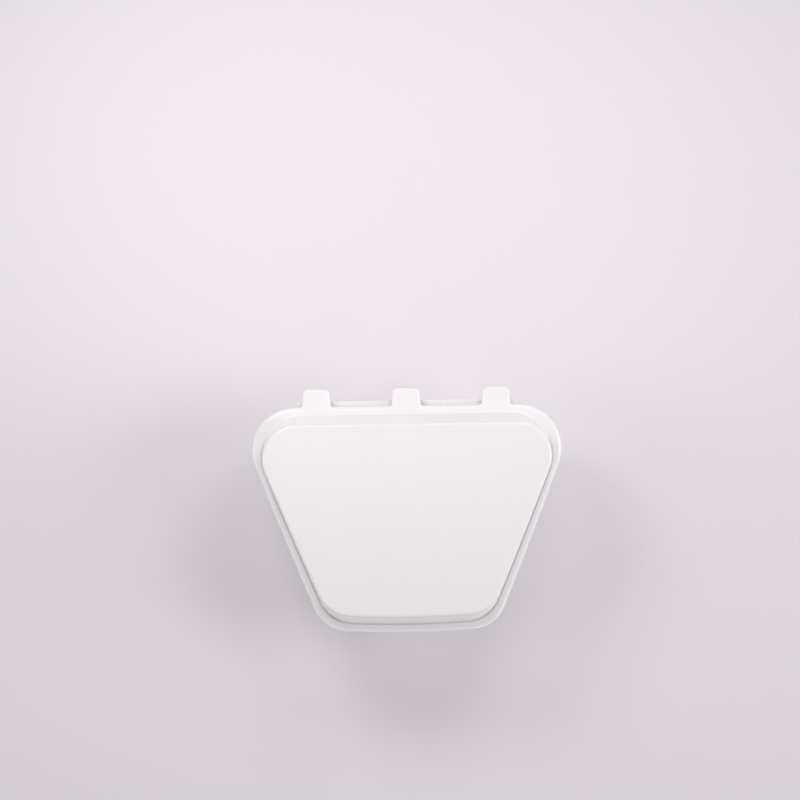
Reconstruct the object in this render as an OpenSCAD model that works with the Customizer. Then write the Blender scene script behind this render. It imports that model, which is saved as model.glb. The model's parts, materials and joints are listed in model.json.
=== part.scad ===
// Denture case: a shallow white moulded tub with a hinged lid.
// Seen from above it is a rounded trapezoid, wide at the hinge and narrow at
// the front. Three hooked lugs on the lid clip over a round bar that is
// moulded along the rear flange of the tub, and the lid swings on that bar.
//
// Frame: millimetres, +Z up through the lid, +Y towards the hinge,
// origin in the middle of the footprint at the level it stands on.

/* [Outline] */
// Width of the lid rim at its widest
rim_width = 89; // [84:0.5:95]
// Depth of the lid rim from front to hinge side, without the lugs
rim_depth = 65.2; // [62:0.1:70]
// Radius of the two corners beside the hinge
rear_radius = 12.7; // [11:0.1:14]
// Radius of the two front corners
front_radius = 10.4; // [10.2:0.1:12]
// Lean of the sides where they leave the rear corners
side_lean = 21; // [18:0.5:22]
// Further turn of the sides, which bow outward a little
side_turn = 1.5; // [1:0.5:4]
// Radius of the bow along the front edge
front_bow = 300; // [200:10:500]

/* [Heights] */
// Total height, closed
total_height = 40; // [36:0.5:46]
// Height of the tub's flange, where the lid closes on it
flange_top = 27; // [24:0.5:30]
// Height of the lid's rim above its lower edge
rim_height = 4.1; // [3.6:0.1:5]

/* [Lid] */
// Width of the ledge round the raised wall at the two widest points
ledge_side = 3.05; // [2.9:0.05:3.1]
// Width of the ledge on the hinge side
ledge_rear = 2.8; // [2.5:0.05:3.2]
// Width of the ledge at the front
ledge_front = 2.75; // [2.4:0.05:3.2]
// Rear corner radius of the raised wall's foot
foot_rear_radius = 11.8; // [11:0.1:12]
// Front corner radius of the raised wall's foot
foot_front_radius = 10.2; // [9.8:0.1:10.8]
// Set-back of the raised panel's edge at the two widest points
panel_side_inset = 3.45; // [3.3:0.05:4]
// Set-back of the raised panel's edge on the hinge side
panel_rear_inset = 5.2; // [4.6:0.1:6]
// Set-back of the raised panel's edge at the front
panel_front_inset = 5.15; // [4.6:0.05:6]
// Rear corner radius of the raised panel
panel_rear_radius = 9.8; // [9:0.1:11]
// Front corner radius of the raised panel
panel_front_radius = 10.2; // [9:0.1:11]
// Wall thickness of the lid
lid_wall = 1.55; // [1.4:0.05:1.7]
// Height of the raised panel's crown over its edge
crown = 0.3; // [0.1:0.1:0.6]

/* [Tub] */
// Wall thickness of the tub
tub_wall = 1.7; // [1.5:0.1:1.9]
// Thickness of the tub's floor
floor_thickness = 1.8; // [1.5:0.1:2.5]
// Draft of the tub's walls
tub_draft = 6.5; // [5:0.5:7]
// Set-back of the wall under the flange from the lid's outline
tub_inset = 4; // [4:0.1:4.3]
// Height of the upstand that locates the lid
upstand_height = 1.7; // [1.2:0.1:2]
// Number of drain ribs on the floor
rib_count = 5; // [3:1:7]

/* [Hinge] */
// How far the lugs reach behind the lid's rim
lug_reach = 4.9; // [4.7:0.1:5.2]
// Width of one lug
lug_width = 8; // [7:0.1:9]
// Distance between lug centres
lug_pitch = 25.7; // [24:0.1:25.8]
// Distance of the hinge axis behind the lid's rim
axis_reach = 0.4; // [0.4:0.05:0.5]
// Radius of the hinge bar
bar_radius = 1; // [0.9:0.05:1.05]
// Running clearance between the bar and a lug's bore
bar_clearance = 0.08; // [0.05:0.01:0.1]

/* [Hidden] */
$fn = 64;

shell_white = "#f1efec";

// Places along Y and Z
overall_depth = rim_depth + lug_reach;
rear_edge = overall_depth / 2 - lug_reach;
front_edge = -overall_depth / 2;
axis_y = rear_edge + axis_reach;
axis_z = flange_top - bar_radius - 0.2;
closing_gap = 0.2;
rim_bottom = flange_top + closing_gap;
ledge_top = rim_bottom + rim_height;

// Lean of the sides at the raised wall's foot and at the panel
foot_lean = side_lean + 0.7;
panel_lean = side_lean + 1;

// Clearances and small sizes
side_gap = 0.3;
upstand_inset = 2.2;
upstand_wall = 1.4;
flange_inset = 0.5;
flange_thickness = 2.4;
edge_round = 0.3;
shoulder = 1;
rim_draft = 0.3;
foot_fillet = 0.4;
ledge_fillet = 0.3;
panel_edge = 0.8;
tub_foot_radius = 3.6;
floor_fillet = 2.3;

// Steps along each arc of an outline. The rear corners turn 110 degrees, so
// with 11 steps one point falls on the outline's widest place.
rear_steps = 11;
front_steps = 7;
side_steps = 5;
bow_steps = 3;
round_steps = 4;

// ---------------------------------------------------------------- outline
function dir(a) = [cos(a), sin(a)];
function arc(c, r, a, b, n, first = 0) = [for (i = [first:n]) c + r * dir(a + (b - a) * i / n)];

// Radius of the side arc that joins both corners tangentially and meets the
// front bow. p and q give the front corner's centre as p + radius * q.
function side_radius(p, q, reach) =
    (-(p * q) + sqrt(pow(p * q, 2) - (q * q) * (p * p - reach * reach))) / (q * q);

// Right half of a closed outline as tangent arcs, set inward by inset:
// rear corner, bowed side, front corner and half of the bowed front.
function half_outline(half_w, rear, front, r1, r2, lean, inset) =
    let (
        c1 = [half_w - r1, rear - r1],
        a1 = -lean,
        a2 = -lean - side_turn,
        bow = [0, front + front_bow],
        p = c1 + r1 * dir(a1) - r2 * dir(a2) - bow,
        q = dir(a2) - dir(a1),
        rs = side_radius(p, q, front_bow - r2),
        cs = c1 + (r1 - rs) * dir(a1),
        c2 = cs + (rs - r2) * dir(a2),
        a3 = -acos(c2[0] / (front_bow - r2))
    )
    concat(
        arc(c1, r1 - inset, 90, a1, rear_steps),
        arc(cs, rs - inset, a1, a2, side_steps, 1),
        arc(c2, r2 - inset, a2, a3, front_steps, 1),
        arc(bow, front_bow - inset, a3, -90, bow_steps, 1)
    );

// The whole outline: the right half, then its mirror without the front centre
function whole(half) = concat(half, [for (i = [len(half) - 2:-1:0]) [-half[i][0], half[i][1]]]);

// The lid rim's outline, set inward
function rim(inset) =
    whole(half_outline(rim_width / 2, rear_edge, front_edge, rear_radius, front_radius,
        side_lean, inset));

// The outline of the raised wall's foot on the ledge, set inward
function foot(inset) =
    whole(half_outline(rim_width / 2 - ledge_side, rear_edge - ledge_rear,
        front_edge + ledge_front, foot_rear_radius, foot_front_radius, foot_lean, inset));

// The raised panel's outline, set inward
function panel(inset) =
    whole(half_outline(rim_width / 2 - panel_side_inset, rear_edge - panel_rear_inset,
        front_edge + panel_front_inset, panel_rear_radius, panel_front_radius,
        panel_lean, inset));

// ------------------------------------------------------------------- lofts
function at(outline, z) = [for (p = outline) [p[0], p[1], z]];
function between(a, b, t) = [for (i = [0:len(a) - 1]) a[i] * (1 - t) + b[i] * t];
function shrunk(outline, k, y) = [for (p = outline) [p[0] * k, y + (p[1] - y) * k]];

// Closed skin through rings of equal length. The first ring is closed by a
// face that looks down, the last by one that looks up.
module loft(rings) {
    n = len(rings[0]);
    last = len(rings) - 1;
    points = [for (ring = rings, p = ring) p];
    sides = [for (k = [0:last - 1], i = [0:n - 1]) let (j = (i + 1) % n)
        each [[k * n + i, k * n + j, (k + 1) * n + j],
            [k * n + i, (k + 1) * n + j, (k + 1) * n + i]]];
    start = [[for (i = [n - 1:-1:0]) i]];
    end = [[for (i = [0:n - 1]) last * n + i]];
    polyhedron(points, concat(start, sides, end), convexity = 8);
}

// --------------------------------------------------------------------- tub
// Inset of the tub's outer wall at a height
function wall_inset(z) = tub_inset + (flange_top - flange_thickness - z) * tan(tub_draft);

module tub_skin() {
    under = flange_top - flange_thickness;
    low = wall_inset(tub_foot_radius);
    inner = low + tub_wall;
    loft(concat(
        // rounded lower edge, from the flat base up to the wall
        [for (i = [0:round_steps]) let (a = 90 * i / round_steps)
            at(rim(low + tub_foot_radius * (1 - sin(a))), tub_foot_radius * (1 - cos(a)))],
        [
            // outer wall and the flange on it
            at(rim(tub_inset), under - foot_fillet),
            at(rim(tub_inset - foot_fillet), under),
            at(rim(flange_inset + edge_round), under),
            at(rim(flange_inset), under + edge_round),
            at(rim(flange_inset), flange_top - edge_round),
            at(rim(flange_inset + edge_round), flange_top),
            // upstand that goes up inside the lid's rim
            at(rim(upstand_inset), flange_top),
            at(rim(upstand_inset), flange_top + upstand_height - edge_round),
            at(rim(upstand_inset + edge_round), flange_top + upstand_height),
            at(rim(upstand_inset + upstand_wall - edge_round), flange_top + upstand_height),
            at(rim(upstand_inset + upstand_wall), flange_top + upstand_height - edge_round),
            // inside, down to the floor
            at(rim(upstand_inset + upstand_wall), flange_top - 0.4),
            at(rim(tub_inset + tub_wall), under + 0.4)
        ],
        [for (i = [0:round_steps]) let (a = 90 * i / round_steps)
            at(rim(inner + floor_fillet * (1 - cos(a))),
                floor_thickness + floor_fillet * (1 - sin(a)))]
    ));
}

// Flange behind the tub that carries the hinge bar, with tapered ends
module hinge_flange() {
    end_tab = 1.4;
    taper = 0.65;
    bar_half = lug_pitch + lug_width / 2 + end_tab;
    root_half = bar_half + taper;
    root_y = rear_edge - upstand_inset - upstand_wall / 2;
    translate([0, 0, axis_z - bar_radius])
        linear_extrude(2 * bar_radius)
            polygon([[-root_half, root_y], [-root_half, rear_edge - 1],
                [-bar_half, axis_y], [bar_half, axis_y], [root_half, rear_edge - 1],
                [root_half, root_y]]);
    translate([0, axis_y, axis_z]) along_x(2 * bar_half, bar_radius);
}

// Cylinder along X, centred
module along_x(length, radius) {
    rotate([0, 90, 0]) cylinder(h = length, r = radius, center = true);
}

// One copy of the children at each of the three lugs
module at_lugs() {
    for (i = [-1:1]) translate([i * lug_pitch, axis_y, axis_z]) children();
}

// Low round-ended ribs that hold a denture off the floor
module drain_ribs() {
    spacing = 9;
    rib_width = 1.6;
    rib_height = 0.8;
    rib_front = front_edge + 18;
    rib_rear = rear_edge - 19;
    for (i = [0:rib_count - 1])
        translate([(i - (rib_count - 1) / 2) * spacing, 0, floor_thickness - 0.3])
            linear_extrude(rib_height + 0.3)
                slot(rib_front, rib_rear, rib_width);
}

// Slot shape along Y with round ends
module slot(y0, y1, w) {
    translate([-w / 2, y0]) square([w, y1 - y0]);
    for (y = [y0, y1]) translate([0, y]) circle(d = w);
}

// Space that one hook and its lug turn through
module window(side) {
    window_radius = 2.57;
    wall_gap = 0.1;
    along_x(lug_width + 2 * side, window_radius);
    translate([-lug_width / 2 - side, wall_gap - tub_inset - axis_reach, -window_radius])
        cube([lug_width + 2 * side, tub_inset, window_radius]);
}

module tub() {
    window_side = 0.5;
    bead_length = 16;
    bead_radius = 0.5;
    bead_proud = 0.18;
    scallop_radius = 22;
    scallop_depth = 1.3;
    color(shell_white) {
        difference() {
            union() {
                tub_skin();
                hinge_flange();
            }
            // windows that the lid's hooks turn in
            at_lugs() window(window_side);
            // relief for a thumb under the lid's front edge
            translate([0, front_edge + flange_inset + scallop_depth - scallop_radius,
                flange_top - flange_thickness - 1])
                cylinder(h = flange_thickness + 0.6, r = scallop_radius);
        }
        // the bar across the windows
        at_lugs() along_x(lug_width + 2 * window_side + 1, bar_radius);
        // bead on the front of the upstand that the lid snaps over
        translate([0, front_edge + upstand_inset + bead_radius - bead_proud,
            flange_top + upstand_height / 2])
            along_x(bead_length, bead_radius);
        drain_ribs();
    }
}

// --------------------------------------------------------------------- lid
module lid_skin() {
    panel_top = total_height - crown;
    wall_foot = ledge_top + ledge_fillet;
    wall_head = panel_top - panel_edge;
    under_ledge = ledge_top - lid_wall;
    skirt_inset = upstand_inset - side_gap;
    middle = (front_edge + rear_edge) / 2;
    loft(concat(
        [
            // inside, from the ceiling down to the rim
            at(shrunk(panel(panel_edge), 0.2, middle), total_height - lid_wall),
            at(panel(lid_wall + panel_edge), panel_top - lid_wall),
            at(panel(lid_wall), wall_head - lid_wall),
            at(foot(lid_wall), under_ledge),
            at(rim(skirt_inset + edge_round), under_ledge),
            at(rim(skirt_inset), under_ledge - edge_round),
            at(rim(skirt_inset), rim_bottom),
            at(rim(0), rim_bottom)
        ],
        // rounded shoulder of the rim
        [for (i = [0:round_steps]) let (a = 90 * i / round_steps)
            at(rim(rim_draft + shoulder * (1 - cos(a))), ledge_top - shoulder * (1 - sin(a)))],
        [
            at(foot(-ledge_fillet), ledge_top),
            at(between(foot(0), panel(0), 0.04), wall_foot)
        ],
        // raised wall and the rounded edge of the panel
        [for (i = [0:round_steps]) let (a = 90 * i / round_steps)
            at(panel(panel_edge * (1 - cos(a))), wall_head + panel_edge * sin(a))],
        [
            at(shrunk(panel(panel_edge), 0.55, middle), total_height - crown * 0.3),
            at(shrunk(panel(panel_edge), 0.2, middle), total_height)
        ]
    ));
}

// Hooked lug: profile across the hinge cut to its rounded plan shape.
// Local origin on the hinge axis.
module lug() {
    reach = lug_reach - axis_reach;
    top = ledge_top - axis_z - 0.02;
    bottom = rim_bottom - axis_z + 0.02;
    hook_wall = 1.25;
    hook_radius = bar_radius + bar_clearance + hook_wall;
    plan_radius = 1.8;
    root = -axis_reach - 1.6;
    face_low = [reach, top - 1.6];
    // the sloping outer face meets the hook a little inside its tangent point
    tangent = atan2(face_low[1], face_low[0]) - acos(hook_radius / norm(face_low));
    face_foot = 0.96 * hook_radius * dir(tangent);
    difference() {
        intersection() {
            rotate([90, 0, 90])
                linear_extrude(lug_width, center = true)
                    union() {
                        circle(r = hook_radius);
                        polygon([[root, bottom], [0, bottom], [0, 0], face_foot, face_low,
                            [reach, top - 0.6], [reach - 0.6, top], [root, top]]);
                    }
            translate([0, 0, -hook_radius])
                linear_extrude(top + hook_radius)
                    union() {
                        translate([-lug_width / 2, root - 2])
                            square([lug_width, reach - plan_radius - root + 2]);
                        translate([-lug_width / 2 + plan_radius, reach - plan_radius - 0.01])
                            square([lug_width - 2 * plan_radius, plan_radius + 0.01]);
                        for (side = [-1, 1])
                            translate([side * (lug_width / 2 - plan_radius), reach - plan_radius])
                                circle(r = plan_radius);
                    }
        }
        along_x(lug_width + 1, bar_radius + bar_clearance);
        // mouth of the hook, towards the tub
        rotate([90, 0, 90])
            linear_extrude(lug_width + 1, center = true)
                polygon([[0, 0], 5 * dir(155), [-6, 0], 5 * dir(235)]);
    }
}

module lid() {
    color(shell_white) {
        lid_skin();
        at_lugs() lug();
    }
}

tub();
lid();
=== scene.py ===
"""A white moulded denture case with a hinged lid, dressed for a studio view.

Two closed meshes stand for the two moulded pieces. Each is lofted through
rings of points that run clockwise round the case, seen from above, and start
in the middle of the hinge side. Lengths are millimetres until to_mesh().
"""

import json
import math

import bmesh
import bpy
import numpy as np
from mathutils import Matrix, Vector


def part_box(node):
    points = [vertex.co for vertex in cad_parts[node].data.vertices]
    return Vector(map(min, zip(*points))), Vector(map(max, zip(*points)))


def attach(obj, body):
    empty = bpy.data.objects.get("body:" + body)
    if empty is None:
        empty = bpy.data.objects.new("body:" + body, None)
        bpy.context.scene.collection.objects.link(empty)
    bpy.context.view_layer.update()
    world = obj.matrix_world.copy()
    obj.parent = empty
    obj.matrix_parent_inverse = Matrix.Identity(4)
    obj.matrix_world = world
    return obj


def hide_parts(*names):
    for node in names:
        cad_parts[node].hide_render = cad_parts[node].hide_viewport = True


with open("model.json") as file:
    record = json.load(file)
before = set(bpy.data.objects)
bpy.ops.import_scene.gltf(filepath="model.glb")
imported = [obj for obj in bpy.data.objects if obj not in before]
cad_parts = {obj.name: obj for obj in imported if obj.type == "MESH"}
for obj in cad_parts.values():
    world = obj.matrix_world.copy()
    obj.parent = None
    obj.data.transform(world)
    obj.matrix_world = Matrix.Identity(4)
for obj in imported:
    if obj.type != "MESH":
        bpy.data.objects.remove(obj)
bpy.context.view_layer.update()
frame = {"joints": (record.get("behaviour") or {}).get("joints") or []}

MM = 0.001

# ------------------------------------------------- sizes taken from the frame
lid_low, lid_high = (np.array(corner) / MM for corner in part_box("lid"))
AXIS_Y, AXIS_Z = np.array(frame["joints"][0]["pos_m"])[1:] / MM

LUG_REACH = 4.9
RIM_HALF = lid_high[0]
REAR = lid_high[1] - LUG_REACH
FRONT = lid_low[1]
TOP = lid_high[2]
FLANGE_TOP = 27.0
RIM_BOTTOM = FLANGE_TOP + 0.2

# --------------------------------------------------------- shared dimensions
FRONT_BOW = 300.0
SIDE_TURN = 1.5

# half width, rear, front, rear radius, front radius, lean of the sides
RIM = (RIM_HALF, REAR, FRONT, 12.7, 10.4, 21.0)
FOOT = (RIM_HALF - 3.05, REAR - 2.8, FRONT + 2.75, 11.8, 10.2, 21.7)
PANEL = (RIM_HALF - 3.45, REAR - 5.2, FRONT + 5.15, 9.8, 10.2, 22.0)

CORNER_STEPS = 30
SIDE_STEPS = 22
FRONT_STEPS = 22
BOW_STEPS = 12

# ------------------------------------------------------------ lid dimensions
LID_WALL = 1.55
CROWN = 0.3
PANEL_TOP = TOP - CROWN
PANEL_EDGE = 0.8
LEDGE_TOP = 31.3
LEDGE_START = 0.2
LEDGE_FILLET = (0.8, 0.6)
GROOVE_RADIUS = 0.18
GROOVE_DEPTH = 0.42
GROOVE_EDGE = 0.08
GROOVE_ENDS = (REAR - 13.5, REAR - 5.5)
SHOULDER = 1.0
RIM_DRAFT = 0.3
SKIRT_INSET = 1.9

EJECTOR_RADIUS = 3.0
EJECTOR_PLACES = ((-21.0, 13.0), (21.0, 13.0), (-12.0, -16.0), (12.0, -16.0))
EJECTOR_PROUD = 0.08
EJECTOR_BURIED = 0.8
EJECTOR_EDGE = 0.04

LUG_WIDTH = 8.2
LUG_PITCH = 25.7
LUG_TAPER = 2.0
LUG_CORNER = 1.9
LUG_FILLET = 0.55
LUG_SHOULDER = 0.65
LUG_LOW_REACH = 3.58
LUG_FACE_Z = 29.7
LUG_STEPS = 5

HOOK_OUTER = 2.33
HOOK_BORE = 1.08
HOOK_WIDTH = 7.6
HOOK_EDGE = 0.3
HOOK_MOUTH = (155.0, 235.0)

# ------------------------------------------------------------ tub dimensions
FLANGE_UNDER = 24.6
TUB_INSET = 4.0
TUB_DRAFT = math.tan(math.radians(6.5))
TUB_WALL = 1.7
TUB_FOOT = 3.6
FLOOR = 1.8
FLOOR_FILLET = 2.3
BASE_RECESS = 0.35
GATE_Y = 2.0
GATE_RADIUS = 0.9
UPSTAND_INSET = 2.2
UPSTAND_WALL = 1.4
UPSTAND_TOP = 28.7
FLANGE_INSET = 0.5

BAR_RADIUS = 1.0
PLATE_SQUARENESS = 0.4
BAR_HALF = 31.1
# reach behind the rim, rise above the bar and widening of the windows
PLATE_STEP = (
    (0.34, 0.02, 0), (0.26, 0.1, 0), (0.18, 0.18, 0), (0.1, 0.2, 0), (-0.6, 0.2, 0.05),
)
WINDOW_WIDTH = 8.8
WINDOW_CORNER = 0.5
WINDOW_MOUTH = 0.3
WINDOW_SPREAD = 0.8
WINDOW_REACH = 2.5
WINDOW_LOW_REACH = 3.85
WINDOW_TURN = 0.3

SCALLOP_HALF = 8.5
SCALLOP_DEPTH = 1.3
BEAD_HALF = 8.0
BEAD_PROUD = 0.18
BEAD_Z = 27.85
BEAD_RADIUS = 0.5

RIB_COUNT = 5
RIB_SPACING = 9.0
RIB_WIDTH = 1.6
RIB_HEIGHT = 0.8
RIB_ENDS = (FRONT + 18.0, REAR - 19.0)
RIB_COVE = 0.3
RIB_EDGE = 0.4

# ------------------------------------------------------------- mesh clean-up
MERGE = 1e-7
DISSOLVE = 1e-6
FOLD_ANGLE = math.radians(20)
NO_AREA = 1e-14


# ------------------------------------------------------------- plane outlines
def direction(angle):
    a = math.radians(angle)
    return np.array([math.cos(a), math.sin(a)])


def arc(centre, radius, start, end, steps):
    """Points along an arc, both ends included."""
    angles = np.radians(np.linspace(start, end, steps + 1))
    return np.asarray(centre) + radius * np.column_stack([np.cos(angles), np.sin(angles)])


def line(a, b, steps):
    """Points along a straight line, both ends included."""
    t = np.linspace(0, 1, steps + 1)[:, None]
    return (1 - t) * np.asarray(a, float) + t * np.asarray(b, float)


def chain(*runs):
    """Runs of points end to end, each shared end kept once."""
    return np.vstack([runs[0]] + [run[1:] for run in runs[1:]])


def mirrored(run):
    """The run reflected in X and walked the other way."""
    return run[::-1] * [-1, 1]


def whole(half):
    """A closed ring from its right-hand half."""
    return np.vstack([half, mirrored(half)[1:-1]])


def flank(shape, inset):
    """Right-hand outline from the rear corner to the middle of the front, as
    tangent arcs: rear corner, bowed side, front corner and bowed front."""
    half_width, rear, front, rear_radius, front_radius, lean = shape
    turned = -lean - SIDE_TURN
    corner = np.array([half_width - rear_radius, rear - rear_radius])
    bow = np.array([0, front + FRONT_BOW])
    p = corner + rear_radius * direction(-lean) - front_radius * direction(turned) - bow
    q = direction(turned) - direction(-lean)
    reach = FRONT_BOW - front_radius
    root = (p @ q) ** 2 - (q @ q) * (p @ p - reach**2)
    side_radius = (-(p @ q) + math.sqrt(root)) / (q @ q)
    side = corner + (rear_radius - side_radius) * direction(-lean)
    front_corner = side + (side_radius - front_radius) * direction(turned)
    last = -math.degrees(math.acos(front_corner[0] / reach))
    return chain(
        arc(corner, rear_radius - inset, 90, -lean, CORNER_STEPS),
        arc(side, side_radius - inset, -lean, turned, SIDE_STEPS),
        arc(front_corner, front_radius - inset, turned, last, FRONT_STEPS),
        arc(bow, FRONT_BOW - inset, last, -90, BOW_STEPS),
    )


def corner_x(shape):
    """Where the straight rear edge ends."""
    return shape[0] - shape[3]


def plain(shape, inset, stations):
    """A whole outline with a straight rear edge. stations are the X places of
    its points along the rear edge, as a share of that edge."""
    rear = np.column_stack([stations * corner_x(shape), np.full(len(stations), shape[1] - inset)])
    return whole(chain(rear, flank(shape, inset)))


def shares(stops, steps):
    """Places along the rear edge, spread evenly between the given stops."""
    runs = [np.linspace(a, b, n + 1)[1:] for a, b, n in zip(stops, stops[1:], steps)]
    return np.concatenate([[0.0], *runs]) / stops[-1]


# ------------------------------------------------------------------ the rings
def at(outline, height):
    """An outline lifted to one height, or to a height for each point."""
    return np.column_stack([outline, np.broadcast_to(height, len(outline))])


def blended(a, b, t):
    return (1 - t) * a + t * b


def shrunk(outline, share):
    """An outline drawn in towards the middle of the case."""
    middle = np.array([0, (FRONT + REAR) / 2])
    return middle + (outline - middle) * share


def quarter(steps):
    """(1 - cos, sin) pairs from 0 to 90 degrees, which round an edge."""
    return [(1 - math.cos(a), math.sin(a)) for a in np.linspace(0, math.pi / 2, steps + 1)]


def to_mesh(name, rings, finishes):
    """A closed mesh through the rings, with a point at each end. finishes has
    the material number of each band between two rings. Bent faces are split."""
    count = len(rings[0])
    points = np.vstack([rings[0].mean(0), *rings, rings[-1].mean(0)]) * MM
    faces, numbers = [], []
    first, last = 0, len(points) - 1
    for i in range(count):
        j = (i + 1) % count
        faces.append((first, 1 + j, 1 + i))
        numbers.append(finishes[0])
        for k in range(len(rings) - 1):
            low, high = 1 + k * count, 1 + (k + 1) * count
            faces.append((low + i, low + j, high + j, high + i))
            numbers.append(finishes[k])
        top = 1 + (len(rings) - 1) * count
        faces.append((top + i, top + j, last))
        numbers.append(finishes[-1])
    mesh = bpy.data.meshes.new(name)
    mesh.from_pydata(points.tolist(), [], faces)
    mesh.polygons.foreach_set("material_index", numbers)
    bm = bmesh.new()
    bm.from_mesh(mesh)
    bmesh.ops.remove_doubles(bm, verts=bm.verts, dist=MERGE)
    bmesh.ops.triangulate(bm, faces=[f for f in bm.faces if bent(f)], quad_method="FIXED")
    bmesh.ops.recalc_face_normals(bm, faces=bm.faces)
    bm.to_mesh(mesh)
    bm.free()
    piece = bpy.data.objects.new(name, mesh)
    bpy.context.collection.objects.link(piece)
    return piece


def bent(face):
    """Whether the halves of a face with four corners differ much in direction,
    or one of them has no area."""
    if len(face.verts) != 4:
        return False
    a, b, c, d = (v.co for v in face.verts)
    first, second = (b - a).cross(c - a), (c - a).cross(d - a)
    if min(first.length, second.length) < NO_AREA:
        return True
    return first.angle(second) > FOLD_ANGLE


def fuse(base, parts):
    """Joins closed parts to a closed base as one solid, then clears away faces
    without area."""
    for part in parts:
        cut = base.modifiers.new("fuse", "BOOLEAN")
        cut.operation = "UNION"
        cut.solver = "EXACT"
        cut.object = part
        with bpy.context.temp_override(object=base, active_object=base):
            bpy.ops.object.modifier_apply(modifier=cut.name)
        bpy.data.objects.remove(part)
    bm = bmesh.new()
    bm.from_mesh(base.data)
    bmesh.ops.dissolve_degenerate(bm, dist=DISSOLVE, edges=bm.edges)
    bm.to_mesh(base.data)
    bm.free()
    return base


def smooth(piece):
    """Smooth shading in which wide faces lead, so that flats stay flat."""
    piece.data.shade_smooth()
    piece.data.set_sharp_from_angle(angle=math.radians(50))
    even = piece.modifiers.new("even_shading", "WEIGHTED_NORMAL")
    even.keep_sharp = True
    even.weight = 60


# -------------------------------------------------------------------- the lid
def lug_half(inset, edge, reach):
    """Half a lug in plan, from the middle of its tip to its root on the rim.
    The rim is set in by inset and the lug's own sides by edge."""
    normal = direction(LUG_TAPER)
    side = LUG_WIDTH / 2 * normal[0] - edge
    tip_radius = LUG_CORNER - edge
    root_radius = LUG_FILLET + inset
    tip_y = reach - edge - tip_radius
    tip = np.array([(side - tip_radius - tip_y * normal[1]) / normal[0], tip_y])
    root_y = root_radius - inset
    root = np.array([(side + root_radius - root_y * normal[1]) / normal[0], root_y])
    return chain(
        line([0, reach - edge], [tip[0], reach - edge], 3),
        arc(tip, tip_radius, 90, LUG_TAPER, LUG_STEPS + 2),
        line(tip + tip_radius * normal, root - root_radius * normal, LUG_STEPS),
        arc(root, root_radius, 180 + LUG_TAPER, 270, LUG_STEPS),
    )


GAP_STEPS = 16
END_STEPS = 3
LUG_POINTS = 3 + LUG_STEPS + 2 + LUG_STEPS + LUG_STEPS
LUG_FOOT = LUG_WIDTH / 2 + LUG_FILLET
LID_STATIONS = shares(
    [0, LUG_FOOT, LUG_PITCH - LUG_FOOT, LUG_PITCH, LUG_PITCH + LUG_FOOT, corner_x(RIM)],
    [LUG_POINTS, GAP_STEPS, LUG_POINTS, LUG_POINTS, END_STEPS],
)


def rim(inset):
    return plain(RIM, inset, LID_STATIONS)


def foot(inset):
    return plain(FOOT, inset, LID_STATIONS)


def panel(inset):
    return plain(PANEL, inset, LID_STATIONS)


def rim_with_lugs(inset, edge, reach):
    """The rim's outline with its three lugs standing out behind it."""
    half = lug_half(inset, edge, reach)
    across = np.array([LUG_PITCH, 0])
    rear = chain(
        half,
        line(half[-1], mirrored(half)[0] + across, GAP_STEPS),
        mirrored(half) + across,
        half + across,
        line(half[-1] + across, [corner_x(RIM), -inset], END_STEPS),
    )
    return whole(chain(rear + [0, REAR], flank(RIM, inset)))


def lug_reach(z):
    """How far the lugs' sloping outer face stands behind the rim."""
    share = np.clip((z - RIM_BOTTOM) / (LUG_FACE_Z - RIM_BOTTOM), 0, 1)
    return LUG_LOW_REACH + (LUG_REACH - LUG_LOW_REACH) * share


def groove_rings():
    """The fine groove with a round bottom at the foot of the raised wall."""
    rings = [at(foot(-2 * GROOVE_RADIUS - GROOVE_EDGE * (1 - s)), LEDGE_TOP - GROOVE_EDGE * c)
             for c, s in quarter(3)]
    for a in np.linspace(0, math.pi, 9):
        low = LEDGE_TOP - GROOVE_DEPTH + GROOVE_RADIUS * (1 - math.sin(a))
        rings.append(at(foot(-GROOVE_RADIUS * (1 + math.cos(a))), low))
    return rings + [at(foot(0), LEDGE_TOP)]


def hollow_rings():
    """The hollow corner that takes the groove's place along the hinge side."""
    across, up = LEDGE_FILLET
    return [at(foot(-across * (1 - s)), LEDGE_TOP + up * c) for c, s in quarter(13)]


def grooved(groove, hollow):
    """Groove round the sides and the front, fading out round the rear corners."""
    start, end = GROOVE_ENDS
    t = np.clip((end - hollow[:, 1:2]) / (end - start), 0, 1)
    return blended(hollow, groove, t * t * (3 - 2 * t))


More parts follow.
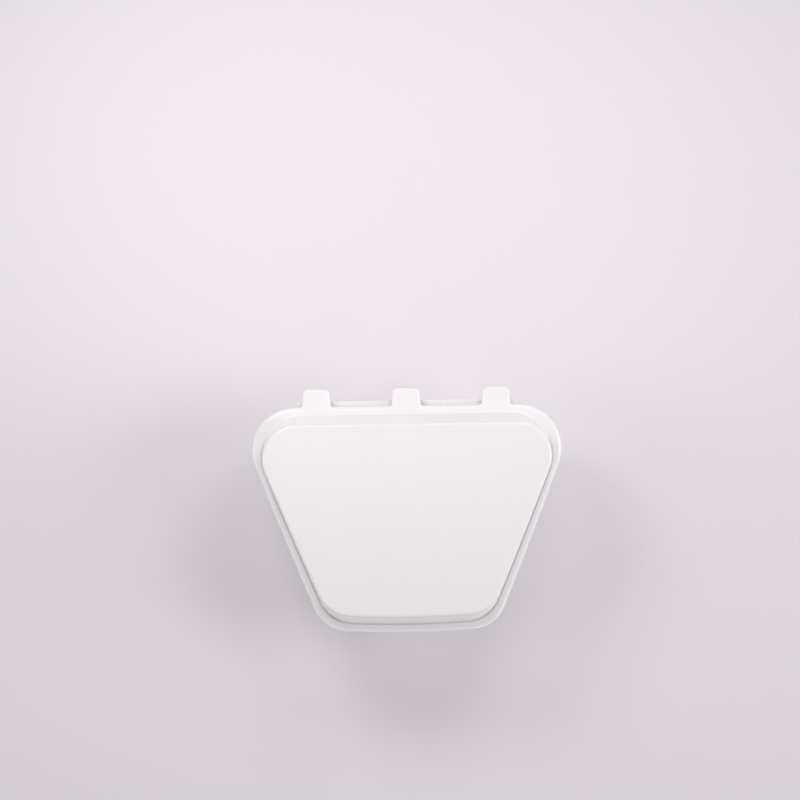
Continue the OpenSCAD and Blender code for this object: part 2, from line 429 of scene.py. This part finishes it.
def lid_rings():
    """Rings from the middle of the ceiling, down the inside, round the lower
    edge and up to the middle of the panel."""
    ceiling = TOP - LID_WALL
    wall_head = PANEL_TOP - PANEL_EDGE
    under_ledge = LEDGE_TOP - LID_WALL
    inner_edge = 0.5
    rings = [at(shrunk(panel(LID_WALL + PANEL_EDGE), k), ceiling - CROWN * k * k)
             for k in (0.04, 0.2, 0.4, 0.6, 0.8, 0.92, 1)]
    rings += [at(panel(LID_WALL + PANEL_EDGE * c), wall_head - LID_WALL + PANEL_EDGE * s)
              for c, s in quarter(5)[-2::-1]]
    # inner wall, widening from the panel's outline to the foot's
    for t in (0.2, 0.5, 0.8):
        outline = blended(panel(LID_WALL), foot(LID_WALL), t)
        rings.append(at(outline, blended(wall_head - LID_WALL, under_ledge, t)))
    rings += [at(foot(LID_WALL - inner_edge * c), under_ledge + inner_edge * (1 - s))
              for c, s in quarter(4)]
    # flat under the ledge, then down the inside of the skirt
    fillet = 0.3
    rings += [at(rim(SKIRT_INSET + fillet * (1 - s)), under_ledge - fillet * c)
              for c, s in quarter(3)]
    soft = 0.2
    rings.append(at(rim(SKIRT_INSET), 28.6))
    rings += [at(rim(SKIRT_INSET - soft * c), RIM_BOTTOM + soft * (1 - s)) for c, s in quarter(3)]
    inside = len(rings) - 2
    # lower edge of the rim and of the lugs
    for c, s in quarter(3)[::-1]:
        z = RIM_BOTTOM + soft * (1 - s)
        rings.append(at(rim_with_lugs(soft * c, soft * c, lug_reach(z)), z))
    shoulder_foot = LEDGE_TOP - SHOULDER
    for z in (28.2, 29.0, LUG_FACE_Z):
        inset = RIM_DRAFT * (z - RIM_BOTTOM) / (shoulder_foot - RIM_BOTTOM)
        rings.append(at(rim_with_lugs(inset, 0, lug_reach(z)), z))
    for c, s in quarter(8):
        outline = rim_with_lugs(RIM_DRAFT + SHOULDER * c, LUG_SHOULDER * c, LUG_REACH)
        rings.append(at(outline, shoulder_foot + SHOULDER * s))
    # ledge, its groove or hollow corner, and the raised wall
    rings.append(at(rim(RIM_DRAFT + SHOULDER + LEDGE_START), LEDGE_TOP))
    rings += [grooved(groove, hollow) for groove, hollow in zip(groove_rings(), hollow_rings())]
    hollow_top = LEDGE_TOP + LEDGE_FILLET[1]
    for t in (0.3, 0.6, 0.9):
        rings.append(at(blended(foot(0), panel(0), t), blended(hollow_top, wall_head, t)))
    rings += [at(panel(PANEL_EDGE * c), wall_head + PANEL_EDGE * s) for c, s in quarter(7)]
    rings += [at(shrunk(panel(PANEL_EDGE), k), TOP - CROWN * k * k)
              for k in (0.98, 0.92, 0.8, 0.6, 0.4, 0.2, 0.04)]
    return rings, inside


def hook_profile(inset):
    """A hook in the plane across the hinge, as (y, z) from the hinge axis. Its
    round arm has rounded tips, and its neck goes up into the lug."""
    high, low = HOOK_MOUTH[0], HOOK_MOUTH[1] - 360
    middle = (HOOK_OUTER + HOOK_BORE) / 2
    half_arm = (HOOK_OUTER - HOOK_BORE) / 2 - inset
    leave = -24.0
    neck_y = LUG_LOW_REACH - (AXIS_Y - REAR) - 0.06 - inset
    neck_z = RIM_BOTTOM - AXIS_Z
    inside_lug = neck_z + 0.9
    return chain(
        arc(middle * direction(low), half_arm, low - 180, low, 8),
        arc([0, 0], HOOK_OUTER - inset, low, leave, 22),
        line((HOOK_OUTER - inset) * direction(leave), [neck_y, neck_z], 5),
        line([neck_y, neck_z], [neck_y, inside_lug], 1),
        line([neck_y, inside_lug], [-2.2, inside_lug], 4),
        line([-2.2, inside_lug], middle * direction(high) + half_arm * direction(high), 2),
        arc(middle * direction(high), half_arm, high, high + 180, 8),
        arc([0, 0], HOOK_BORE + inset, high, low, 26),
    )[:-1]


def hook(centre_x):
    """One closed hook, its long edges rounded."""
    rings = []
    half = HOOK_WIDTH / 2
    rounds = [(math.sin(a), 1 - math.cos(a)) for a in np.linspace(0, math.pi / 2, 4)]
    stations = [(-half + HOOK_EDGE * (1 - s), HOOK_EDGE * c) for s, c in rounds[::-1]]
    stations += [(-x, d) for x, d in stations[::-1]]
    for x, inset in stations:
        profile = hook_profile(inset)
        ring = np.column_stack([np.full(len(profile), centre_x + x),
                                AXIS_Y + profile[:, 0], AXIS_Z + profile[:, 1]])
        rings.append(ring)
    return prism("hook", rings)


def prism(name, rings):
    """A closed mesh through the rings with a flat face at each end."""
    count = len(rings[0])
    faces = [tuple(range(count)), tuple((len(rings) - 1) * count + i for i in range(count))[::-1]]
    for k in range(len(rings) - 1):
        for i in range(count):
            j = (i + 1) % count
            faces.append((k * count + i, (k + 1) * count + i, (k + 1) * count + j, k * count + j))
    mesh = bpy.data.meshes.new(name)
    mesh.from_pydata((np.vstack(rings) * MM).tolist(), [], faces)
    bm = bmesh.new()
    bm.from_mesh(mesh)
    bmesh.ops.recalc_face_normals(bm, faces=bm.faces)
    bm.to_mesh(mesh)
    bm.free()
    piece = bpy.data.objects.new(name, mesh)
    bpy.context.collection.objects.link(piece)
    return piece


def make_lid():
    rings, inside = lid_rings()
    finishes = [1 if k < inside else 0 for k in range(len(rings))]
    lid = to_mesh("lid_shell", rings, finishes)
    ceiling = TOP - LID_WALL - CROWN / 2
    low, high = ceiling - EJECTOR_PROUD, ceiling + EJECTOR_BURIED
    marks = [disc("ejector_mark", place, EJECTOR_RADIUS, low, high, EJECTOR_EDGE)
             for place in EJECTOR_PLACES]
    return fuse(lid, marks + [hook(i * LUG_PITCH) for i in (-1, 0, 1)])


# -------------------------------------------------------------------- the tub
PLATE_STEPS = 10
TAB_STEPS = 3
SLOPE_STEPS = 3
WINDOW_FLOOR_STEPS = 3
WINDOW_TURN_STEPS = 4
WINDOW_SIDE_STEPS = 4
# The walls' points for a window's side and mouth lie beside the window, so
# that no face runs across it.
WINDOW_STOPS = WINDOW_WIDTH / 2 + np.array([-WINDOW_WIDTH / 2, -WINDOW_CORNER, 0, WINDOW_SPREAD])
WINDOW_STEPS = [WINDOW_FLOOR_STEPS, WINDOW_TURN_STEPS, WINDOW_SIDE_STEPS + WINDOW_TURN_STEPS]
TUB_STATIONS = shares(
    [
        *WINDOW_STOPS,
        *(LUG_PITCH - WINDOW_STOPS[::-1]),
        *(LUG_PITCH + WINDOW_STOPS[1:]),
        BAR_HALF,
        corner_x(RIM),
    ],
    [*WINDOW_STEPS, PLATE_STEPS, *WINDOW_STEPS[::-1], *WINDOW_STEPS, TAB_STEPS, SLOPE_STEPS],
)
RUN_POINTS = len(TUB_STATIONS)


def wall(inset):
    return plain(RIM, inset, TUB_STATIONS)


def window_half(edge_y, floor_y, wider):
    """Half a window in plan, from the middle of its floor to beyond its mouth."""
    half = WINDOW_WIDTH / 2 + wider
    inner = np.array([half - WINDOW_CORNER, floor_y + WINDOW_CORNER])
    outer = np.array([half + WINDOW_MOUTH, edge_y - WINDOW_MOUTH])
    return chain(
        line([0, floor_y], [inner[0], floor_y], WINDOW_FLOOR_STEPS),
        arc(inner, WINDOW_CORNER, -90, 0, WINDOW_TURN_STEPS),
        line([half, inner[1]], [half, outer[1]], WINDOW_SIDE_STEPS),
        arc(outer, WINDOW_MOUTH, 180, 90, WINDOW_TURN_STEPS),
    )


def flange_ring(inset, z, edge_y, edge_z, floor_y, wider=0):
    """Outline of the flange at inset and z. Along the hinge it follows the
    plate's edge at edge_y and edge_z and goes round the three windows, which
    are wider and deeper by wider."""
    half = window_half(edge_y, floor_y - wider, wider)
    across = np.array([LUG_PITCH, 0])
    end = [BAR_HALF, edge_y]
    rear = chain(
        half,
        line(half[-1], mirrored(half)[0] + across, PLATE_STEPS),
        mirrored(half) + across,
        half + across,
        line(half[-1] + across, end, TAB_STEPS),
        line(end, [corner_x(RIM), REAR - inset], SLOPE_STEPS),
    )
    heights = np.full(RUN_POINTS, float(edge_z))
    heights[-SLOPE_STEPS - 1:] = np.linspace(edge_z, z, SLOPE_STEPS + 1)
    right = flank(RIM, inset)
    heights = np.concatenate([heights, np.full(len(right) - 1, float(z))])
    outline = whole(chain(rear, right))
    return at(outline, np.concatenate([heights, heights[-2:0:-1]]))


def with_scallop(ring, share):
    """The ring drawn in at the front where a thumb goes under the lid."""
    depth = SCALLOP_DEPTH * np.cos(np.clip(ring[:, 0] / SCALLOP_HALF, -1, 1) * math.pi / 2) ** 2
    ring = ring.copy()
    ring[:, 1] += np.where(ring[:, 1] < 0, depth * share, 0)
    return ring


def with_bead(ring, share):
    """The ring swollen along the front by the bead that the lid snaps over."""
    fade = np.clip((BEAD_HALF - np.abs(ring[:, 0])) / BEAD_RADIUS, 0, 1)
    ring = ring.copy()
    ring[:, 1] -= np.where(ring[:, 1] < 0, BEAD_PROUD * share * np.sqrt(1 - (1 - fade) ** 2), 0)
    return ring


def tub_rings():
    """Rings from the middle of the base, up the outside, over the flange and
    the upstand and down the inside to the middle of the floor."""
    def wall_inset(z):
        return TUB_INSET + (FLANGE_UNDER - z) * TUB_DRAFT

    low = wall_inset(TUB_FOOT)
    base = wall(low + TUB_FOOT)
    rings = [at(shrunk(base, k), BASE_RECESS) for k in (0.04, 0.3, 0.6, 0.9)]
    rings += [at(shrunk(base, 0.915 + 0.015 * t), BASE_RECESS * (1 + math.cos(math.pi * t)) / 2)
              for t in np.linspace(0, 1, 7)]
    rings += [at(wall(low + TUB_FOOT * (1 - s)), TUB_FOOT * c) for c, s in quarter(8)]
    rings += [at(wall(wall_inset(z)), z) for z in (8.0, 13.0, 18.0, 22.0)]
    cove = 0.4
    rings += [at(wall(TUB_INSET - cove * c), FLANGE_UNDER - cove * (1 - s)) for c, s in quarter(4)]

    # flange and hinge plate: underside, rounded edge, top
    nose = 0.3
    for a in np.linspace(-90, 90, 13):
        c, s = direction(a)
        under = np.clip((WINDOW_TURN - s) / (WINDOW_TURN + 1), 0, 1)
        inset = FLANGE_INSET + nose * (1 - math.sqrt(1 - s * s))
        z = (FLANGE_UNDER + FLANGE_TOP) / 2 + s * (FLANGE_TOP - FLANGE_UNDER) / 2
        ends = FLANGE_UNDER + nose * (1 + s) if s < 0 else FLANGE_TOP - nose * (1 - s)
        z = ends if abs(s) > 0.01 else z
        window_floor = AXIS_Y - blended(WINDOW_REACH, WINDOW_LOW_REACH, under)
        edge_y = AXIS_Y + BAR_RADIUS * abs(c) ** PLATE_SQUARENESS
        edge_z = AXIS_Z + BAR_RADIUS * math.copysign(abs(s) ** PLATE_SQUARENESS, s)
        ring = flange_ring(inset, z, edge_y, edge_z, window_floor)
        rings.append(with_scallop(ring, 1 if s < 0.01 else 1 - s ** 0.5))
    window_floor = AXIS_Y - WINDOW_REACH
    inset = FLANGE_INSET + nose
    for reach, rise, wider in PLATE_STEP:
        edge_y, edge_z = REAR + reach, AXIS_Z + BAR_RADIUS + rise
        rings.append(flange_ring(inset, FLANGE_TOP, edge_y, edge_z, window_floor, wider))
    rings.append(at(wall(UPSTAND_INSET), FLANGE_TOP))

    # upstand with its snap bead
    for t in np.linspace(-1, 1, 9):
        ring = at(wall(UPSTAND_INSET), BEAD_Z + BEAD_RADIUS * 0.8 * t)
        rings.append(with_bead(ring, 1 - t * t))
    soft = 0.3
    rings += [at(wall(UPSTAND_INSET + soft * c), UPSTAND_TOP - soft * (1 - s))
              for c, s in quarter(4)]
    inner = UPSTAND_INSET + UPSTAND_WALL
    rings += [at(wall(inner - soft * (1 - s)), UPSTAND_TOP - soft * c) for c, s in quarter(4)]

    # inside: step down to the wall, then the floor
    inside = len(rings)
    rings.append(at(wall(inner), FLANGE_TOP - 0.2))
    rings.append(at(wall(inner + 0.12), FLANGE_TOP - 0.55))
    rings.append(at(wall(TUB_INSET + TUB_WALL - 0.15), FLANGE_UNDER + 0.55))
    rings += [at(wall(wall_inset(z) + TUB_WALL), z) for z in (24.4, 20.0, 15.0, 10.0, 6.0)]
    low += TUB_WALL
    rings += [at(wall(low + FLOOR_FILLET * c), FLOOR + FLOOR_FILLET * (1 - s))
              for c, s in quarter(8)]
    rings += [at(shrunk(wall(low + FLOOR_FILLET), k), FLOOR) for k in (0.9, 0.6, 0.3, 0.04)]
    return rings, inside


def bar(centre_x):
    """The free stretch of the hinge bar across one window."""
    into_plate = 0.2
    below_plate = 0.01
    half = WINDOW_WIDTH / 2 + into_plate
    circle = arc([AXIS_Y, AXIS_Z], BAR_RADIUS - below_plate, 0, 360, 48)[:-1]
    rings = [np.column_stack([np.full(len(circle), centre_x + x), circle])
             for x in np.linspace(-half, half, 3)]
    return prism("bar", rings)


def rib(centre_x):
    """A low rib with round ends and a soft top that keeps a denture off the floor."""
    def slot(radius):
        front, rear = RIB_ENDS
        return np.vstack([arc([0, rear], radius, 180, 0, 12), arc([0, front], radius, 0, -180, 12)])

    half = RIB_WIDTH / 2
    top = FLOOR + RIB_HEIGHT
    rings = [at(slot(half + RIB_COVE), FLOOR - depth) for depth in (0.4, 0.005)]
    rings += [at(slot(half + RIB_COVE * (1 - s)), FLOOR + RIB_COVE * c) for c, s in quarter(4)]
    rings += [at(slot(half - RIB_EDGE * c), top - RIB_EDGE * (1 - s)) for c, s in quarter(4)]
    return prism("rib", [ring + [centre_x, 0, 0] for ring in rings])


def disc(name, centre, radius, low, high, edge):
    """A flat round disc whose lower and upper edges are rounded."""
    def circle(inset, z):
        return at(np.asarray(centre) + arc([0, 0], radius - inset, 360, 0, 36)[:-1], z)

    rings = [circle(edge * (1 - s), low + edge * c) for c, s in quarter(3)]
    rings += [circle(edge * c, high - edge * (1 - s)) for c, s in quarter(3)]
    return prism(name, rings)


def make_tub():
    rings, inside = tub_rings()
    finishes = [1 if k >= inside else 0 for k in range(len(rings))]
    tub = to_mesh("tub_shell", rings, finishes)
    middle = (RIB_COUNT - 1) / 2
    ribs = [rib((i - middle) * RIB_SPACING) for i in range(RIB_COUNT)]
    bars = [bar(i * LUG_PITCH) for i in (-1, 0, 1)]
    gate = disc("gate", (0, GATE_Y), GATE_RADIUS, 0.1, BASE_RECESS + 0.5, 0.1)
    return fuse(tub, bars + ribs + [gate])


# ------------------------------------------------------------------ materials
def node(tree, kind, **values):
    """A shader node with the given inputs set."""
    made = tree.nodes.new(kind)
    for key, value in values.items():
        made.inputs[key.replace("_", " ")].default_value = value
    return made


def moulded_white(name, colour, shade, roughness, grain):
    """White moulded plastic: faint clouds in the colour, uneven gloss, slow
    waves from shrinkage and a fine grain."""
    material = bpy.data.materials.new(name)
    material.use_nodes = True
    tree = material.node_tree
    shader = tree.nodes["Principled BSDF"]
    shader.inputs["IOR"].default_value = 1.49
    shader.inputs["Subsurface Weight"].default_value = 0.25
    shader.inputs["Subsurface Radius"].default_value = (1.0, 0.9, 0.85)
    shader.inputs["Subsurface Scale"].default_value = 0.0012

    place = node(tree, "ShaderNodeTexCoord").outputs["Object"]

    clouds = node(tree, "ShaderNodeTexNoise", Scale=55.0, Detail=3.0, Roughness=0.5)
    tree.links.new(place, clouds.inputs["Vector"])
    tint = node(tree, "ShaderNodeMix")
    tint.data_type = "RGBA"
    tint.inputs[6].default_value = (*colour, 1)
    tint.inputs[7].default_value = (*shade, 1)
    tree.links.new(clouds.outputs["Fac"], tint.inputs[0])
    tree.links.new(tint.outputs[2], shader.inputs["Base Color"])

    patches = node(tree, "ShaderNodeTexNoise", Scale=210.0, Detail=4.0, Roughness=0.6)
    tree.links.new(place, patches.inputs["Vector"])
    gloss = node(tree, "ShaderNodeMapRange")
    gloss.inputs["From Min"].default_value = 0.3
    gloss.inputs["From Max"].default_value = 0.7
    gloss.inputs["To Min"].default_value = roughness - 0.04
    gloss.inputs["To Max"].default_value = roughness + 0.05
    tree.links.new(patches.outputs["Fac"], gloss.inputs["Value"])
    tree.links.new(gloss.outputs["Result"], shader.inputs["Roughness"])

    waves = node(tree, "ShaderNodeTexNoise", Scale=90.0, Detail=1.0)
    tree.links.new(place, waves.inputs["Vector"])
    slow = node(tree, "ShaderNodeBump", Strength=0.12, Distance=0.0003)
    tree.links.new(waves.outputs["Fac"], slow.inputs["Height"])
    specks = node(tree, "ShaderNodeTexNoise", Scale=2600.0, Detail=2.0)
    tree.links.new(place, specks.inputs["Vector"])
    fine = node(tree, "ShaderNodeBump", Strength=grain, Distance=0.00004)
    tree.links.new(specks.outputs["Fac"], fine.inputs["Height"])
    tree.links.new(slow.outputs["Normal"], fine.inputs["Normal"])
    tree.links.new(fine.outputs["Normal"], shader.inputs["Normal"])
    return material


def pale_floor():
    material = bpy.data.materials.new("pale_floor")
    material.use_nodes = True
    shader = material.node_tree.nodes["Principled BSDF"]
    shader.inputs["Base Color"].default_value = (0.79, 0.735, 0.788, 1)
    shader.inputs["Roughness"].default_value = 0.7
    return material


# -------------------------------------------------------------- studio setting
def make_camera():
    """Straight above, as the photograph is taken."""
    data = bpy.data.cameras.new("camera")
    data.lens = 136.8
    data.sensor_width = 36.0
    data.clip_end = 10.0
    camera = bpy.data.objects.new("camera", data)
    camera.location = (-1.72 * MM, (REAR + 1.45) * MM, 0.9)
    camera.rotation_euler = (0, 0, math.radians(-1.0))
    bpy.context.collection.objects.link(camera)
    bpy.context.scene.camera = camera


def lamp(name, place, aim, size, power):
    data = bpy.data.lights.new(name, "AREA")
    data.shape = "RECTANGLE"
    data.size, data.size_y = size
    data.energy = power
    light = bpy.data.objects.new(name, data)
    light.location = place
    away = Vector(place) - Vector(aim)
    light.rotation_euler = away.to_track_quat("Z", "Y").to_euler()
    bpy.context.collection.objects.link(light)
    return light


def make_lights():
    world = bpy.data.worlds.new("studio")
    world.use_nodes = True
    background = world.node_tree.nodes["Background"]
    background.inputs["Color"].default_value = (1.0, 1.0, 1.0, 1)
    background.inputs["Strength"].default_value = 0.38
    bpy.context.scene.world = world
    lamp("behind_left", (-0.095, 0.15, 0.20), (0, 0, 0.03), (0.09, 0.08), 0.176)
    lamp("behind_right", (0.065, 0.15, 0.20), (0, 0, 0.03), (0.09, 0.08), 0.102)
    lamp("right", (0.60, 0, 0.35), (0, 0, 0.03), (0.30, 0.60), 2.1)
    lamp("left", (-0.60, 0, 0.35), (0, 0, 0.03), (0.30, 0.60), 0.9)
    lamp("front", (0, -0.70, 0.12), (0, 0, 0.03), (0.80, 0.05), 1.02)


def make_floor():
    mesh = bpy.data.meshes.new("floor")
    half = 1.5
    below = -0.05 * MM
    corners = [(x * half, y * half, below) for x, y in ((-1, -1), (1, -1), (1, 1), (-1, 1))]
    mesh.from_pydata(corners, [], [(0, 1, 2, 3)])
    floor = bpy.data.objects.new("floor", mesh)
    floor.data.materials.append(pale_floor())
    bpy.context.collection.objects.link(floor)


bpy.context.scene.view_settings.view_transform = "Standard"
make_camera()
make_lights()
make_floor()

gloss_white = moulded_white("gloss_white", (0.87, 0.845, 0.855), (0.85, 0.828, 0.838), 0.22, 0.04)
satin_white = moulded_white("satin_white", (0.86, 0.838, 0.845), (0.84, 0.82, 0.828), 0.42, 0.15)
for piece, body in ((make_lid(), "lid"), (make_tub(), "tub")):
    piece.data.materials.append(gloss_white)
    piece.data.materials.append(satin_white)
    smooth(piece)
    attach(piece, body)
    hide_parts(body)
